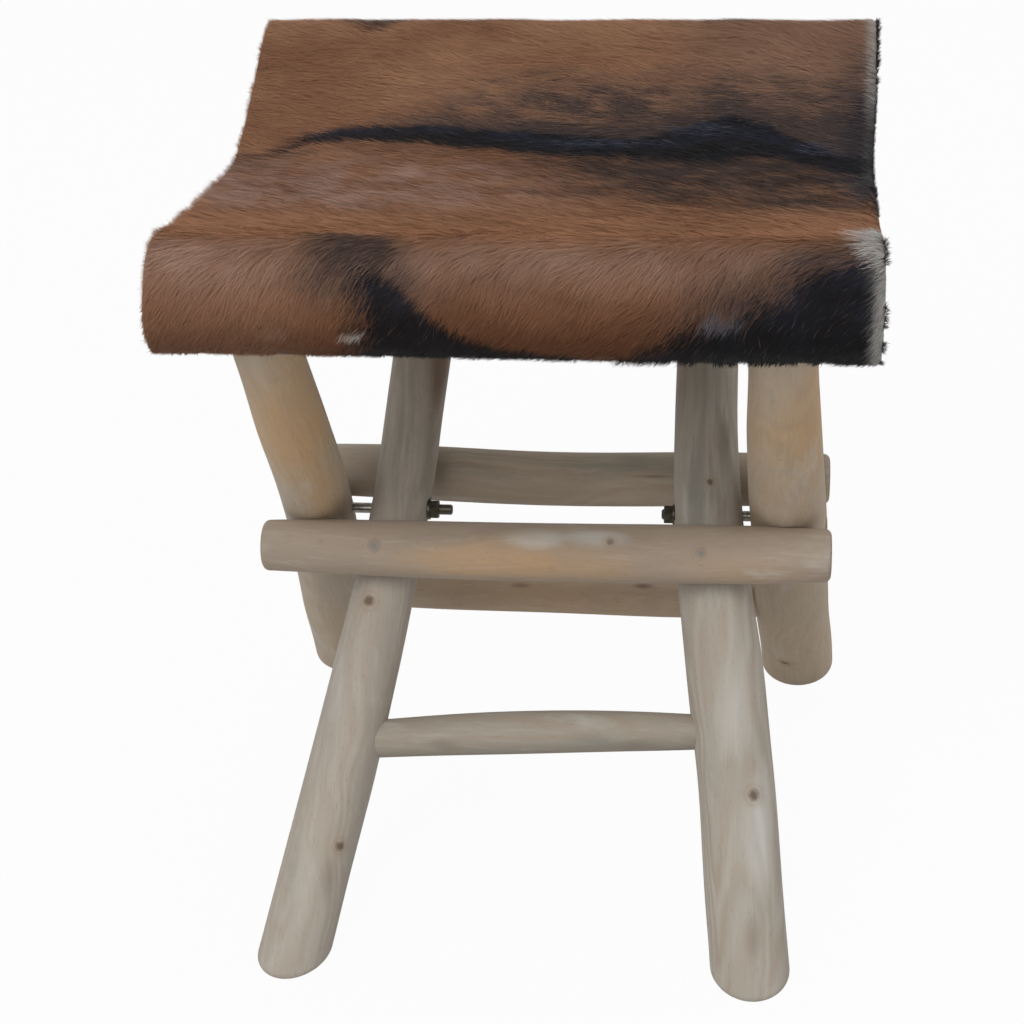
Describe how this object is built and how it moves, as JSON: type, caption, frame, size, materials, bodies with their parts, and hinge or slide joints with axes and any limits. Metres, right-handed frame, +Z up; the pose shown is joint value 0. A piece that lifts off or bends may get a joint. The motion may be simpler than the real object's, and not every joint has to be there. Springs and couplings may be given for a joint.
{
  "type": "folding stool",
  "caption": "Folding stool with crossed branch-wood legs on bolted pivots and a hair-on hide slung between two seat rails.",
  "frame": {"origin": "on the floor, under the middle of the stool as it stands open", "axes": "+X to the right along the seat rails, +Y to the back, +Z up"},
  "size_m": [0.3586, 0.3622, 0.447],
  "materials": {
    "wood_leg": "bleached and sanded, matte",
    "wood_rail": "bleached and sanded, matte",
    "wood_plug": "sanded flush, end grain",
    "plated_steel": "zinc plated",
    "dark_steel": "plated, dulled",
    "hide": "short hair left on, soft sheen"
  },
  "bodies": {
    "outer_frame": {"outer_leg_left": "wood_leg", "outer_leg_right": "wood_leg", "front_seat_rail": "wood_rail", "back_stop_rail": "wood_rail", "back_stretcher": "wood_rail", "pivot_bolt_left": "plated_steel", "pivot_bolt_right": "plated_steel", "bolt_head_washers": "plated_steel", "pivot_washers": "plated_steel", "pivot_nuts": "dark_steel", "back_stop_rail_screws": "plated_steel", "back_stop_rail_plugs": "wood_plug", "front_seat_rail_screws": "plated_steel", "front_hide_tacks": "dark_steel", "hide_seat": "hide"},
    "inner_frame": {"inner_leg_left": "wood_leg", "inner_leg_right": "wood_leg", "back_seat_rail": "wood_rail", "front_stop_rail": "wood_rail", "front_stretcher": "wood_rail", "front_stop_rail_screws": "plated_steel", "front_stop_rail_plugs": "wood_plug", "back_seat_rail_screws": "plated_steel", "back_hide_tacks": "dark_steel"}
  },
  "joints": [
    {"name": "fold", "type": "hinge", "parent": "outer_frame", "child": "inner_frame", "pos_m": [0, 0, 0.2065], "axis": [1, 0, 0], "range_deg": [0, 54], "deforming": ["hide_seat"]}
  ]
}
